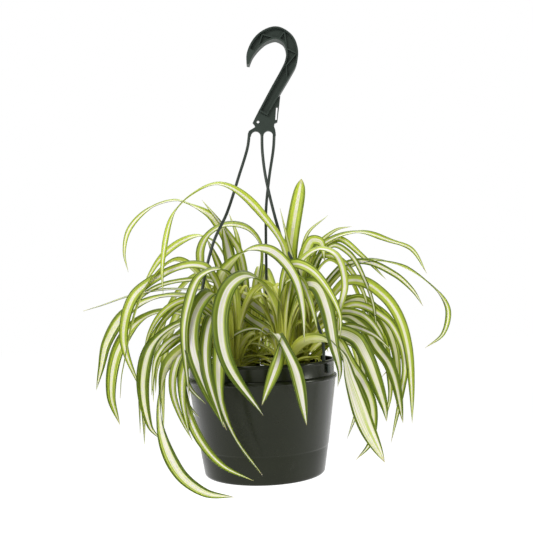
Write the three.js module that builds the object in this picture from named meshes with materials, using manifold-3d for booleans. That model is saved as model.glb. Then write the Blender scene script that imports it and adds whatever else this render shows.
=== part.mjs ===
// Spider plant in a plastic hanging pot: a tapered pot with a stepped collar, a moulded
// three-strand hanger with an open hook, potting mix, and four crowns of striped, arching leaves.
// Millimetres, +Z up. Pieces are laid out from the centre of the pot's underside, and the whole
// group is then shifted so that the origin is the point where the hook bears on its rail.
import * as THREE from 'three';
import { mergeVertices } from 'three/addons/utils/BufferGeometryUtils.js';
import Module from 'manifold-3d';

const wasm = await Module();
wasm.setup();

// ---- driving dimensions ----
const CLEARANCE = 0.3;               // gap kept between pieces that bear on each other

const SHOULDER_RADIUS = 85;          // widest part of the pot, the ledge under the collar
const BASE_RADIUS = 68;
const SHOULDER_HEIGHT = 108.5;       // top of the ledge
const COLLAR_HEIGHT = 17;
const COLLAR_RADIUS = 82.5;
const POT_WALL = 2;
const BASE_FLOOR = 2.5;
const DRAIN_HOLES = 8;

const STRAP_ANGLES = [210, 330, 90]; // where the hanger clips in, degrees round the pot
const SLOT_WIDTH = 5.4;
const SLOT_BOTTOM = 112;
const SLOT_TOP = 121.5;

const SOIL_HEIGHT = 108;
const CROWN_RADIUS = 9;
const CROWN_DEPTH = 24;              // how far a crown reaches down into the soil
const CROWN_RISE = 21;               // and how far it stands out of it

const HOOK_DEPTH = 11;               // front to back
const FLANGE = 2.2;                  // raised edge of the hook's channel
const WEB = 2.4;
const PLATE_DEPTH = 3.6;
const STRAND_RADIUS = 1.7;

const LEAF_STEPS = 32;               // steps along a leaf's midrib
const RING_EVERY = 4;                // a ring of the blade at every fourth step
const BLADE_THICKNESS = 1.4;         // at the midrib
const LEAF_GAP = 0.5;                // space kept round each blade
const SMALLEST_EDGE = 0.01;          // shorter edges, left where blades cross, are closed up

// ---- colours ----
const potPlastic = new THREE.MeshStandardMaterial({ color: 0x2a2f2b, roughness: 0.42, metalness: 0 });
const hangerPlastic = new THREE.MeshStandardMaterial({ color: 0x26302b, roughness: 0.4, metalness: 0 });
const pottingMix = new THREE.MeshStandardMaterial({ color: 0x2b2118, roughness: 0.95, metalness: 0 });
const leafGreen = new THREE.MeshStandardMaterial({ color: 0x9fb35a, roughness: 0.5, metalness: 0 });

// ---- solids from three.js geometry ----
function solid(geometry) {
  const bare = geometry.clone();
  bare.deleteAttribute('normal');
  bare.deleteAttribute('uv');
  const merged = mergeVertices(bare, 1e-4);
  const triangles = [];
  for (let i = 0; i < merged.index.count; i += 3) {
    const [a, b, c] = [0, 1, 2].map((k) => merged.index.getX(i + k));
    if (a !== b && b !== c && c !== a) triangles.push(a, b, c);
  }
  return new wasm.Manifold(new wasm.Mesh({
    numProp: 3,
    vertProperties: new Float32Array(merged.attributes.position.array),
    triVerts: new Uint32Array(triangles),
  }));
}

function addMesh(parent, name, shape, material) {
  const { vertProperties, triVerts } = shape.getMesh();
  const geometry = new THREE.BufferGeometry();
  geometry.setAttribute('position', new THREE.BufferAttribute(vertProperties, 3));
  geometry.setIndex(new THREE.BufferAttribute(triVerts, 1));
  geometry.computeVertexNormals();
  const mesh = new THREE.Mesh(geometry, material);
  mesh.name = name;
  parent.add(mesh);
}

// a turned shape about +Z, from [radius, height] points that run from the axis back to the axis
function turned(profile, sides) {
  const points = profile.map(([radius, height]) => new THREE.Vector2(radius, height));
  return solid(new THREE.LatheGeometry(points, sides).rotateX(Math.PI / 2));
}

function block(width, depth, height, x, y, z) {
  return new THREE.BoxGeometry(width, depth, height).translate(x, y, z);
}

// a flat outline in X and Z, given depth along Y and centred on y
function plate(shape, depth, y = 0) {
  const geometry = new THREE.ExtrudeGeometry(shape, { depth, bevelEnabled: false, curveSegments: 8 });
  return solid(geometry.rotateX(Math.PI / 2).translate(0, y + depth / 2, 0));
}

// ---- pot: tapered body, ledge, upright collar with a rolled lip, drain holes, strand slots ----
function makePot() {
  const collarTop = SHOULDER_HEIGHT + COLLAR_HEIGHT;
  const inside = SHOULDER_RADIUS - POT_WALL - 1.5;
  let pot = turned([
    [0, 0], [BASE_RADIUS - 3, 0], [BASE_RADIUS, 3], [BASE_RADIUS + 4.6, 31], [BASE_RADIUS + 5.2, 31.4],
    [SHOULDER_RADIUS - 1.2, SHOULDER_HEIGHT - 4], [SHOULDER_RADIUS, SHOULDER_HEIGHT - 3],
    [SHOULDER_RADIUS, SHOULDER_HEIGHT - 0.8], [SHOULDER_RADIUS - 0.8, SHOULDER_HEIGHT],
    [COLLAR_RADIUS - 0.4, SHOULDER_HEIGHT + 0.4], [COLLAR_RADIUS, collarTop - 3.4],
    [COLLAR_RADIUS + 1, collarTop - 2.6], [COLLAR_RADIUS + 1, collarTop - 0.6],
    [COLLAR_RADIUS + 0.4, collarTop], [COLLAR_RADIUS - POT_WALL, collarTop],
    [COLLAR_RADIUS - POT_WALL - 0.3, SHOULDER_HEIGHT - 1], [inside, SHOULDER_HEIGHT - 6],
    [BASE_RADIUS - POT_WALL, BASE_FLOOR + 3], [BASE_RADIUS - POT_WALL - 3, BASE_FLOOR], [0, BASE_FLOOR],
  ], 48);
  for (let i = 0; i < DRAIN_HOLES; i++) {
    const turn = (i + 0.5) / DRAIN_HOLES * 2 * Math.PI;
    const hole = new THREE.CylinderGeometry(4, 4, 10, 10).rotateX(Math.PI / 2);
    pot = pot.subtract(solid(hole.translate(50 * Math.cos(turn), 50 * Math.sin(turn), 0)));
  }
  for (const angle of STRAP_ANGLES) {
    const height = SLOT_TOP - SLOT_BOTTOM;
    const slot = block(10, SLOT_WIDTH, height, COLLAR_RADIUS, 0, SLOT_BOTTOM + height / 2);
    pot = pot.subtract(solid(slot.rotateZ(THREE.MathUtils.degToRad(angle))));
  }
  return pot;
}

// ---- soil: fills the pot to just under the slots, with a crumbly top and a plain hole per crown ----
function makeSoil(crowns) {
  const topRadius = COLLAR_RADIUS - POT_WALL - 0.8;
  const top = new THREE.LatheGeometry([
    [0, BASE_FLOOR + CLEARANCE], [BASE_RADIUS - POT_WALL - 3.4, BASE_FLOOR + CLEARANCE],
    [BASE_RADIUS - POT_WALL - 0.5, BASE_FLOOR + 3.2], [SHOULDER_RADIUS - POT_WALL - 2, SHOULDER_HEIGHT - 6.2],
    [topRadius, SHOULDER_HEIGHT - 2.4], [topRadius - 2, SOIL_HEIGHT], [62, SOIL_HEIGHT], [46, SOIL_HEIGHT],
    [30, SOIL_HEIGHT], [13, SOIL_HEIGHT], [0, SOIL_HEIGHT],
  ].map(([radius, height]) => new THREE.Vector2(radius, height)), 24).rotateX(Math.PI / 2);
  const position = top.attributes.position;
  for (let i = 0; i < position.count; i++) {
    if (position.getZ(i) > SOIL_HEIGHT - 0.1) {
      const x = position.getX(i);
      const y = position.getY(i);
      const lumps = 1.3 * Math.sin(x * 0.43 + 1.3) * Math.cos(y * 0.37);
      const swell = 0.8 * Math.sin(x * 0.19 - y * 0.27);
      position.setZ(i, SOIL_HEIGHT + lumps + swell - 0.6);
    }
  }
  let soil = solid(top);
  for (const [x, y] of crowns) {
    const radius = CROWN_RADIUS + 0.5;
    const hole = new THREE.CylinderGeometry(radius, radius, 40, 12).rotateX(Math.PI / 2);
    const bottom = SOIL_HEIGHT - CROWN_DEPTH - 0.5;
    soil = soil.subtract(solid(hole.translate(x, y, bottom + 20)));
  }
  return soil;
}

// ---- hanger: one moulding with a channelled hook, a flat head plate and three strands ----
// the hook's middle line, from its tip over the bight and down the neck: x, z and half width
const HOOK_LINE = [
  [-4, 468, 1.6], [-1, 480, 4], [7, 492.5, 6], [17.5, 501, 7], [31, 504, 7.5], [43.5, 496, 7],
  [48, 483, 7], [46.5, 470, 7], [41, 458.5, 6.6], [27, 435.5, 6.2], [11.5, 409.5, 5.6],
];
const RIB_CORNERS = [
  [8, 486], [14, 503], [33, 496.5], [40, 505.5], [42, 485], [53, 479], [40.5, 465], [41, 449],
];
const HEAD_BOTTOM = 384;
const STRAND_STARTS = [-5, 9.6, 24];
const STRANDS = [
  [[-5, 0, 388], [-7.5, -3, 371], [-18.5, -10, 336], [-33, -19, 293], [-49, -28, 258], [-64, -36.5, 195],
    [-68, -39.2, 150], [-67.7, -39.1, 117]],
  [[9.6, 0, 388], [9.4, -1.5, 365], [13, -6, 329], [29, -15, 258], [40, -22, 234], [61, -35, 172],
    [68, -39.2, 145], [67.7, -39.1, 117]],
  [[24, 0, 388], [22.5, 6, 371], [16.5, 24, 340], [11.5, 40, 305], [10, 55, 270], [8, 71, 205],
    [2, 78, 155], [0, 78.2, 117]],
];

function hookOutline(inset) {
  const middle = new THREE.CatmullRomCurve3(HOOK_LINE.map(([x, z]) => new THREE.Vector3(x, 0, z)));
  const widths = new THREE.CatmullRomCurve3(HOOK_LINE.map(([, , half], i) => new THREE.Vector3(i, half, 0)));
  const left = [];
  const right = [];
  const stations = 24;
  for (let i = 0; i <= stations; i++) {
    const point = middle.getPoint(i / stations);
    const along = middle.getTangent(i / stations);
    const half = widths.getPoint(i / stations).y - inset;
    if (half < 0.6) continue;
    left.push(new THREE.Vector2(point.x - along.z * half, point.z + along.x * half));
    right.unshift(new THREE.Vector2(point.x + along.z * half, point.z - along.x * half));
  }
  return new THREE.Shape([...left, ...right]);
}

function makeHook() {
  let hook = plate(hookOutline(0), HOOK_DEPTH);
  const pocketDepth = (HOOK_DEPTH - WEB) / 2;
  for (const side of [-1, 1]) {
    let pocket = plate(hookOutline(FLANGE), pocketDepth + 1, side * (WEB / 2 + (pocketDepth + 1) / 2));
    for (let i = 1; i < RIB_CORNERS.length; i++) {
      const [x0, z0] = RIB_CORNERS[i - 1];
      const [x1, z1] = RIB_CORNERS[i];
      const rib = block(Math.hypot(x1 - x0, z1 - z0), HOOK_DEPTH - 1.6, 1.6, 0, 0, 0);
      rib.rotateY(-Math.atan2(z1 - z0, x1 - x0)).translate((x0 + x1) / 2, 0, (z0 + z1) / 2);
      pocket = pocket.subtract(solid(rib));
    }
    hook = hook.subtract(pocket);
  }
  return hook;
}

function makeHeadPlate() {
  const outline = new THREE.Shape();
  const [first, middle, last] = STRAND_STARTS;
  const half = STRAND_RADIUS;
  outline.moveTo(first - half, HEAD_BOTTOM);
  const leftSide = [[first - half + 1, 390], [2, 394.5], [1.2, 397], [-0.8, 399.5], [8, 416]];
  const rightSide = [[32.5, 430], [28, 399.5], [24.6, 398], [24, 394.5], [last + half - 0.4, 390]];
  for (const [x, z] of [...leftSide, ...rightSide, [last + half, HEAD_BOTTOM]]) outline.lineTo(x, z);
  const rightArch = (last - middle) / 2 - half;
  outline.absarc((middle + last) / 2, HEAD_BOTTOM, rightArch, 0, Math.PI, false);
  const leftArch = (middle - first) / 2 - half;
  outline.absarc((first + middle) / 2, HEAD_BOTTOM, leftArch, 0, Math.PI, false);
  const eye = new THREE.Path().absarc(5.5, 400.5, 1.7, 0, 2 * Math.PI, false);
  const slotCorners = [[25.6, 402], [27.4, 402], [29, 417], [27.2, 417]];
  const slot = new THREE.Path(slotCorners.map(([x, z]) => new THREE.Vector2(x, z)));
  outline.holes.push(eye, slot);
  return plate(outline, PLATE_DEPTH);
}

function makeStrand(points, angle) {
  const section = new THREE.Shape();
  section.absarc(0, 0, STRAND_RADIUS, 0, 2 * Math.PI, false);
  const route = points.map((point) => new THREE.Vector3(...point));
  const extrudePath = new THREE.CatmullRomCurve3(route, false, 'centripetal');
  let strand = solid(new THREE.ExtrudeGeometry(section, { steps: 18, curveSegments: 4, extrudePath }));
  // the foot: a pin out through the collar's slot, and a lug that catches the collar from outside
  const turn = THREE.MathUtils.degToRad(angle);
  const pinTop = SLOT_TOP - CLEARANCE;
  const lugInner = COLLAR_RADIUS + CLEARANCE + 0.1;
  const pin = block(lugInner + 1 - 77, 3.4, 3.2, (lugInner + 1 + 77) / 2, 0, pinTop - 1.6);
  const lug = block(1.8, 4.4, 8.6, lugInner + 0.9, 0, SLOT_BOTTOM + 4.6);
  strand = strand.add(solid(pin.rotateZ(turn))).add(solid(lug.rotateZ(turn)));
  return strand;
}

function makeHanger() {
  let hanger = makeHook().add(makeHeadPlate());
  STRANDS.forEach((points, i) => {
    hanger = hanger.add(makeStrand(points, STRAP_ANGLES[i]));
  });
  return hanger;
}

// ---- rosettes: each crown carries its leaves ----
// one leaf a row: its width at the widest, how blunt its tip is, its roll in degrees at even steps from
// root to tip, and the points that its midrib passes through after it leaves the crown, the last being
// its tip; fill gives the headings from and to, in degrees, between which a crown's further leaves
// spread, and their number
const ROSETTES = [
  { name: 'rosette_left', at: [-30, -14], fill: [100, 190, 6], leaves: [
    [14, 5, [-60, -60, -55, -52, -53, -68, -100, -103, -104], [-39, -28, 185], [-55, -41, 228],
      [-75, -44, 233], [-105, -46, 223], [-135, -51, 200], [-146, -52, 155], [-130, -50, 102]],
    [14, 4, [0, -20, -50], [-27, -25, 195], [-37, -38, 226], [-61, -60, 220], [-73, -71, 192],
      [-78, -78, 160], [-74, -82, 95]],
    [19, 5, [0, -20, -30], [-38, -30, 178], [-50, -48, 202], [-66, -66, 183], [-70, -78, 150],
      [-60, -87, 116], [-36, -92, 63]],
    [15, 5, [0, -10], [-42, -35, 162], [-50, -56, 177], [-56, -78, 150], [-54, -92, 119], [-39, -96, 67]],
    [14, 4, [0, -10, -10, -12, -35, -76, -84, -82, -78], [-35, -40, 146], [-40, -70, 155],
      [-43, -94, 122], [-41, -98, 90], [-27, -97, 54], [-2, -90, 17]],
    [17, 6, [60, 65, 65, 60, 22, -5, -28, -40, -45], [-48, -40, 146], [-74, -61, 147], [-97, -68, 127],
      [-104, -76, 96], [-100, -92, 60], [-83, -105, 26], [-58, -113, 8], [-29, -119, 4]],
    [13, 4, [-20, -40, -5, -40, -45], [-52, -36, 157], [-74, -59, 145], [-82, -65, 117], [-78, -73, 85],
      [-64, -83, 53], [-42, -89, 28], [-11, -91, 12]],
    [17, 5, [-30, -30, -25, -15, -20, -60, -80, -80, -85], [-50, -22, 156], [-77, -30, 171],
      [-100, -38, 164], [-119, -46, 144], [-127, -50, 107], [-121, -50, 64], [-110, -48, 48]],
    [16, 6, [-60, -40, -20, -15, -18, -45, -90, -100, -100], [-40, -14, 167], [-73, -10, 196],
      [-113, -8, 200], [-152, -8, 183], [-173, -10, 153], [-181, -12, 121], [-186, -14, 99]],
    [15, 8, [-50, -40, -25, -13, -32, -75, -95, -97, -97], [-46, -10, 156], [-78, -4, 176],
      [-116, -2, 183], [-144, -4, 169], [-164, -8, 137], [-170, -12, 93], [-160, -16, 60]],
    [10, 4, [-20, -50], [-60, -40, 154], [-78, -58, 148], [-90, -68, 125], [-92, -72, 101],
      [-85, -74, 77], [-73, -73, 50]],
    [11, 4, [-20, -45], [-57, -46, 150], [-71, -66, 143], [-80, -76, 121], [-81, -80, 93], [-75, -80, 56]],
    [8, 4, [-60, -30], [-57, -24, 145], [-85, -35, 158], [-101, -48, 150], [-111, -56, 135],
      [-114, -60, 118], [-116, -62, 97]],
    [14, 5, [-45, -45, -45, -40, 25, 65, 72, 72, 72], [-43, -22, 214], [-24, -32, 240], [-5, -40, 249],
      [14, -48, 246], [30, -57, 231], [41, -65, 210], [46, -71, 181], [46, -75, 148]],
    [14, 5, [-60, -75], [-54, -24, 145], [-70, -34, 163], [-84, -40, 159], [-114, -46, 132]],
    [9, 4, [-50, -70], [-58, -28, 146], [-77, -40, 146], [-95, -50, 134], [-104, -54, 112],
      [-109, -54, 82]],
    [9, 4, [-60, -85], [-43, -10, 167], [-66, -20, 192], [-85, -28, 196], [-106, -34, 184],
      [-120, -38, 163], [-128, -40, 137]],
    [9, 4, [-60, -75], [-45, -8, 161], [-67, -14, 187], [-86, -22, 191], [-104, -28, 177],
      [-115, -32, 160], [-121, -34, 141]],
    [8, 4, [-20, -50], [-59, -46, 141], [-72, -62, 141], [-79, -70, 125], [-74, -74, 105], [-58, -76, 88]],
    [9, 4, [-20, -50], [-59, -48, 137], [-74, -64, 133], [-82, -70, 113], [-78, -72, 90], [-65, -72, 73]],
    [6, 4, [60, 80], [-35, -22, 148], [-22, -26, 159], [-4, -32, 162], [8, -36, 155]],
  ] },
  { name: 'rosette_front', at: [24, -16], fill: [0, 0, 0], leaves: [
    [20, 5, [0, -20, -35, -35], [20, -20, 170], [4, -30, 210], [-14, -45, 219], [-32, -64, 205],
      [-40, -82, 172], [-32, -97, 129], [1, -99, 78]],
    [11, 6, [-70, -90, -80, -68, -88, -38, -12, -80, -95], [27, -18, 193], [30, -22, 247], [3, -30, 291],
      [-22, -38, 314], [-44, -42, 321], [-71, -46, 309], [-89, -48, 291], [-98, -50, 267],
      [-104, -50, 231], [-104, -48, 202]],
    [12, 4, [30, 80, 80], [24, -22, 182], [31, -32, 226], [43, -44, 231], [60, -58, 221], [75, -68, 199],
      [84, -76, 174], [83, -78, 150]],
    [12, 4, [30, 60], [23, -24, 176], [30, -36, 210], [44, -48, 214], [54, -60, 191], [61, -66, 159]],
    [17, 5, [30, 60, 50], [36, -30, 176], [48, -44, 206], [62, -56, 206], [71, -69, 182], [76, -82, 144],
      [80, -90, 119], [77, -93, 103]],
    [20, 9, [-30, -30, -30, -30, -24, 11, 36, 50, 51], [43, -45, 143], [66, -66, 148], [83, -80, 134],
      [89, -92, 109], [96, -98, 85], [104, -103, 61], [119, -106, 29]],
    [15, 7, [-60, -70, -80, -20, -30, -10, 6, 12, 12], [20, -45, 143], [16, -66, 157], [25, -84, 143],
      [36, -96, 116], [44, -99, 67]],
    [16, 5, [-50, -60, -80, -78, -85, -58, -35, -22, -20], [25, -58, 139], [22, -76, 147],
      [17, -93, 130], [0, -99, 88]],
    [12, 5, [60, 55, 50, 53, 50, 42, 38, 74, 74], [31, -28, 181], [43, -38, 227], [66, -40, 246],
      [85, -50, 238], [92, -58, 207], [85, -62, 178], [82, -62, 152]],
    [15, 8, [60, 88, 80], [37, -8, 181], [50, -10, 231], [61, -14, 258], [72, -18, 256], [75, -22, 234]],
    [13, 4, [-60, -80], [18, -10, 165], [-6, -4, 187], [-31, -2, 205], [-53, -8, 207], [-70, -14, 189]],
    [12, 4, [-60, -78], [13, -6, 153], [-12, 2, 173], [-32, 6, 191], [-50, 6, 198], [-67, 4, 187]],
  ] },
  { name: 'rosette_right', at: [40, 26], fill: [0, 105, 9], leaves: [
    [17, 24, [30, 45], [41, 28, 192], [39, 31, 250], [56, 42, 340]],
    [10, 6, [70, 80, 90, 90, 85, 70, 55, 40, 20, 60, 45, 85, 90], [47, 24, 180], [56, 20, 237],
      [85, 14, 261], [120, 6, 268], [154, 0, 256], [177, -4, 245], [192, -7, 217]],
    [11, 6, [60, 70, 60, 40, 25, -18, 5, 85, 90], [61, 20, 174], [93, 12, 219], [125, 4, 234],
      [162, -6, 227], [194, -12, 204], [211, -16, 177], [205, -16, 149], [184, -14, 133]],
    [9, 7, [60, 70, 60, 50, 45, 50, 65, 80, 85], [61, 18, 180], [95, 8, 228], [124, 0, 233],
      [155, -10, 217], [173, -14, 199], [184, -16, 180]],
    [9, 5, [60, 90], [57, 24, 192], [73, 20, 243], [95, 15, 262], [120, 8, 242], [147, 2, 212]],
    [14, 7, [40, 60, 80, 72], [66, 0, 157], [96, -10, 172], [116, -20, 159], [128, -28, 137],
      [139, -33, 120], [146, -37, 96], [151, -40, 55]],
    [13, 5, [40, 40, 40, 70, 85, 82, 78, 78, 78], [70, 12, 170], [99, 3, 210], [120, -6, 210],
      [143, -15, 191], [156, -21, 167], [163, -25, 135], [165, -25, 94], [164, -24, 52]],
    [8, 4, [50, 70, 60, 45, 40], [52, 22, 180], [69, 14, 236], [88, 8, 254], [104, 2, 245],
      [114, -4, 229], [128, -12, 186], [131, -15, 138]],
    [7, 4, [40, 70], [48, 30, 204], [59, 40, 269], [87, 50, 295]],
    [9, 4, [60, 95], [53, 24, 204], [69, 22, 253], [92, 20, 273], [112, 20, 277]],
    [9, 5, [40, 78, 72], [69, 8, 157], [106, -4, 184], [141, -14, 168], [156, -20, 141], [159, -24, 115],
      [154, -27, 89], [139, -28, 32]],
    [17, 7, [40, 65, 58], [62, -8, 138], [85, -28, 154], [103, -44, 148], [112, -54, 131],
      [118, -60, 113], [128, -62, 77], [130, -61, 61]],
    [8, 4, [60, 90, 76], [54, 24, 192], [70, 16, 241], [93, 8, 239], [110, 2, 219], [122, -4, 189],
      [125, -6, 155]],
    [9, 4, [30, 50], [69, -8, 137], [93, -20, 143], [107, -32, 135], [111, -38, 111], [107, -42, 87],
      [99, -45, 65], [89, -48, 42]],
    [12, 4, [50, 88], [67, 20, 156], [103, 14, 190], [130, 8, 175], [142, 4, 137], [146, 2, 86],
      [139, 2, 52]],
    [10, 4, [60, 90], [67, -4, 132], [95, -18, 160], [123, -30, 152], [143, -36, 133]],
    [10, 4, [60, 80, 73], [64, 6, 163], [91, -8, 177], [112, -18, 174], [126, -26, 161], [136, -30, 139],
      [138, -32, 110]],
    [14, 4, [50, 86, 83], [76, 14, 168], [114, 6, 190], [137, -2, 171], [150, -8, 140], [153, -12, 101],
      [149, -14, 70]],
    [9, 4, [60, 88], [70, 24, 165], [106, 18, 190], [140, 12, 177], [159, 8, 151], [163, 6, 129],
      [136, 2, 100]],
    [13, 5, [30, 50, 50], [64, 4, 140], [84, -20, 146], [98, -40, 119], [109, -44, 101], [117, -45, 79],
      [118, -45, 55], [113, -45, 35], [98, -45, 19]],
    [6, 4, [40, 60], [41, 24, 200], [41, 22, 237], [35, 22, 266], [28, 22, 302]],
  ] },
  { name: 'rosette_back', at: [-14, 36], fill: [35, 165, 13], leaves: [
    [11, 5, [-60, -90, -110, -112, -110, -30, -22, -88, -89], [-30, 30, 207], [-35, 24, 260],
      [-52, 16, 292], [-77, 8, 307], [-95, 2, 312], [-123, -6, 302], [-145, -12, 279], [-151, -14, 253],
      [-147, -14, 230]],
    [10, 4, [-60, -112], [-16, 32, 194], [-21, 24, 249], [-41, 18, 283], [-64, 14, 314]],
    [14, 8, [-60, -80, -95, -100, -100, -95, -75, -110, -115], [-4, 30, 200], [3, 20, 255],
      [-11, 12, 277], [-36, 0, 281], [-57, -8, 268], [-65, -12, 247], [-60, -14, 196]],
    [6, 4, [-30, -30], [-29, 30, 177], [-56, 22, 203], [-88, 14, 209], [-117, 6, 209], [-150, 0, 203],
      [-179, -4, 194], [-201, -6, 188]],
    [12, 5, [-60, -90, -100, -60, -20, -20, -58, -82, -86], [-28, 30, 207], [-47, 22, 259],
      [-67, 16, 271], [-90, 8, 264], [-113, 2, 245], [-136, -4, 208]],
    [10, 4, [-40, -65], [-22, 34, 207], [-24, 38, 267], [-34, 42, 301]],
    [9, 4, [-50, -60, -55, -45, -45, -60, -70], [-26, 30, 183], [-52, 18, 217], [-80, 10, 220],
      [-114, 2, 214], [-136, -4, 200], [-154, -8, 171]],
    [18, 6, [-90, -122], [-24, 28, 183], [-33, 20, 240], [-41, 14, 284]],
    [13, 5, [-70, -112], [-32, 24, 189], [-48, 14, 240], [-59, 8, 268]],
  ] },
];

// evenly spaced points along a smooth line through the given ones
function leafMidrib(knots) {
  const last = knots.length - 1;
  const gaps = knots.slice(1).map((knot, i) => knot.distanceTo(knots[i]));
  const slopes = knots.map((knot, i) => {
    const before = Math.max(i - 1, 0);
    const after = Math.min(i + 1, last);
    const span = gaps.slice(before, after).reduce((sum, gap) => sum + gap, 0);
    return knots[after].clone().sub(knots[before]).divideScalar(span);
  });
  const length = gaps.reduce((sum, gap) => sum + gap, 0);
  const points = [];
  for (let i = 0; i <= LEAF_STEPS; i++) {
    let along = i / LEAF_STEPS * length;
    let k = 0;
    while (k < last - 1 && along > gaps[k]) along -= gaps[k++];
    const u = Math.min(along / gaps[k], 1);
    const point = knots[k].clone().multiplyScalar(2 * u ** 3 - 3 * u ** 2 + 1);
    point.addScaledVector(slopes[k], (u ** 3 - 2 * u ** 2 + u) * gaps[k]);
    point.addScaledVector(knots[k + 1], 3 * u ** 2 - 2 * u ** 3);
    point.addScaledVector(slopes[k + 1], (u ** 3 - u ** 2) * gaps[k]);
    points.push(point);
  }
  return points;
}

// the value at t in a list of values at even steps from 0 to 1
function between(values, t) {
  const k = Math.min(Math.floor(t * (values.length - 1)), values.length - 2);
  return THREE.MathUtils.lerp(values[k], values[k + 1], t * (values.length - 1) - k);
}

// a channelled blade: at each ring two edges, and the midrib's upper and lower side
function leafBlade(knots, [width, bluntness, rolls], grow = 0) {
  const midrib = leafMidrib(knots);
  const out = knots[Math.min(3, knots.length - 1)].clone().sub(knots[0]);
  const side = new THREE.Vector3(-out.y, out.x, 0).normalize();
  const corners = [];
  const rings = LEAF_STEPS / RING_EVERY;
  for (let i = 0; i < LEAF_STEPS; i++) {
    const t = i / LEAF_STEPS;
    const along = midrib[i + 1].clone().sub(midrib[Math.max(i - 1, 0)]).normalize();
    side.addScaledVector(along, -side.dot(along)).normalize();
    if (i % RING_EVERY) continue;
    const across = side.clone().applyAxisAngle(along, THREE.MathUtils.degToRad(between(rolls, t)));
    const face = new THREE.Vector3().crossVectors(along, across);
    const ease = 0.3 + 0.7 * THREE.MathUtils.smoothstep(t, 0, 0.35);
    const half = width / 2 * ease * (1 - t ** bluntness) + grow;
    const channel = half * (0.45 - 0.3 * t);
    const thick = BLADE_THICKNESS / 2 + grow;
    corners.push(midrib[i].clone().addScaledVector(across, half).addScaledVector(face, channel));
    corners.push(midrib[i].clone().addScaledVector(face, thick));
    corners.push(midrib[i].clone().addScaledVector(across, -half).addScaledVector(face, channel));
    corners.push(midrib[i].clone().addScaledVector(face, -thick));
  }
  corners.push(midrib[LEAF_STEPS]);
  const index = [0, 2, 1, 0, 3, 2];
  for (let ring = 0; ring < rings - 1; ring++) {
    for (let k = 0; k < 4; k++) {
      const a = ring * 4 + k;
      const b = ring * 4 + (k + 1) % 4;
      if (k % 2 === 0) index.push(a, b, b + 4, a, b + 4, a + 4);
      else index.push(a, b, a + 4, b, b + 4, a + 4);
    }
  }
  const last = (rings - 1) * 4;
  for (let k = 0; k < 4; k++) index.push(last + k, last + (k + 1) % 4, last + 4);
  const geometry = new THREE.BufferGeometry();
  geometry.setAttribute('position', new THREE.Float32BufferAttribute(corners.flatMap((v) => v.toArray()), 3));
  geometry.setIndex(index);
  return solid(geometry);
}

// seeded draws, so that the plant is the same each time
let seed = 20;
function draw(low, high) {
  seed = (seed * 1103515245 + 12345) % 2147483648;
  return low + (high - low) * seed / 2147483648;
}

// further leaves of a crown, spread over its own side of the pot: up, over and down
function fillLeaves([x, y], [from, to, count]) {
  const rows = [];
  for (let i = 0; i < count; i++) {
    const heading = from + (to - from) * (i + draw(0.1, 0.9)) / count;
    const reach = draw(85, 150);
    const rise = draw(60, 135);
    const tip = draw(15, 110);
    const sway = draw(-18, 18);
    const drop = tip - SOIL_HEIGHT;
    const arch = [[0.22, 0.75 * rise], [0.48, rise], [0.78, 0.72 * rise], [0.97, 0.1 * rise], [1, drop]];
    const knots = arch.map(([out, up]) => {
      const turn = THREE.MathUtils.degToRad(heading + sway * out);
      return [x + out * reach * Math.cos(turn), y + out * reach * Math.sin(turn), SOIL_HEIGHT + up];
    });
    rows.push([draw(9, 15), 4, [0, draw(-35, 35)], ...knots]);
  }
  return rows;
}

// small turns (degrees round the crown) and lifts that a leaf may take to pass clear of the rest
const SHIFTS = [[0, 0], [3, 0], [-3, 0], [0, 4], [6, 0], [-6, 0], [3, 6], [-3, 6], [9, 0], [-9, 0], [0, 10],
  [12, 4], [-12, 4], [16, 8], [-16, 8], [22, 8], [-22, 8]];

function leafKnots([x, y], points, order, [aside, up]) {
  const axis = new THREE.Vector3(0, 0, 1);
  const crown = new THREE.Vector3(x, y, 0);
  const knots = points.map((point) => new THREE.Vector3(...point).sub(crown)
    .applyAxisAngle(axis, THREE.MathUtils.degToRad(aside)).add(crown).add(new THREE.Vector3(0, 0, up)));
  const root = knots[0].clone().sub(crown).setZ(0).setLength(4).add(crown);
  return [root.setZ(SOIL_HEIGHT + 4 + (order % 4) * 1.5), ...knots];
}

// the crown that a rosette grows from, standing in its hole in the soil
function makeCrown([x, y]) {
  return turned([
    [0, -CROWN_DEPTH], [3, -CROWN_DEPTH + 0.5], [CROWN_RADIUS * 0.8, -CROWN_DEPTH * 0.6], [CROWN_RADIUS, -4],
    [CROWN_RADIUS, 5], [CROWN_RADIUS * 0.75, CROWN_RISE - 3], [0, CROWN_RISE],
  ], 12).translate([x, y, SOIL_HEIGHT]);
}

// a rosette with one more leaf on it, turned or lifted by the first shift that passes clear of the
// other pieces, or without it where there is no room
function withLeaf(rosette, others, at, [width, bluntness, rolls, ...points], order) {
  const blade = [width, bluntness, rolls];
  const shift = SHIFTS.find((trial) => {
    const space = leafBlade(leafKnots(at, points, order, trial), blade, LEAF_GAP);
    return space.boundingBox().min[2] > 1 && space.intersect(others).isEmpty();
  });
  return shift ? rosette.add(leafBlade(leafKnots(at, points, order, shift), blade)) : rosette;
}

// the leaves of the table take their places first, then the further ones find room among them
function makeRosettes(fixed) {
  const grown = ROSETTES.map(({ at }) => makeCrown(at));
  for (const further of [false, true]) {
    ROSETTES.forEach(({ at, leaves, fill }, i) => {
      const others = grown.reduce((sum, rosette, k) => (k === i ? sum : sum.add(rosette)), fixed);
      (further ? fillLeaves(at, fill) : leaves).forEach((leaf, k) => {
        grown[i] = withLeaf(grown[i], others, at, leaf, further ? leaves.length + k : k);
      });
    });
  }
  // crossing leaves can close off small hollows, which are filled, and only the one body is kept
  return grown.map((rosette) => rosette.simplify(SMALLEST_EDGE).decompose()
    .reduce((a, b) => (b.volume() > a.volume() ? b : a)));
}

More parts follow.
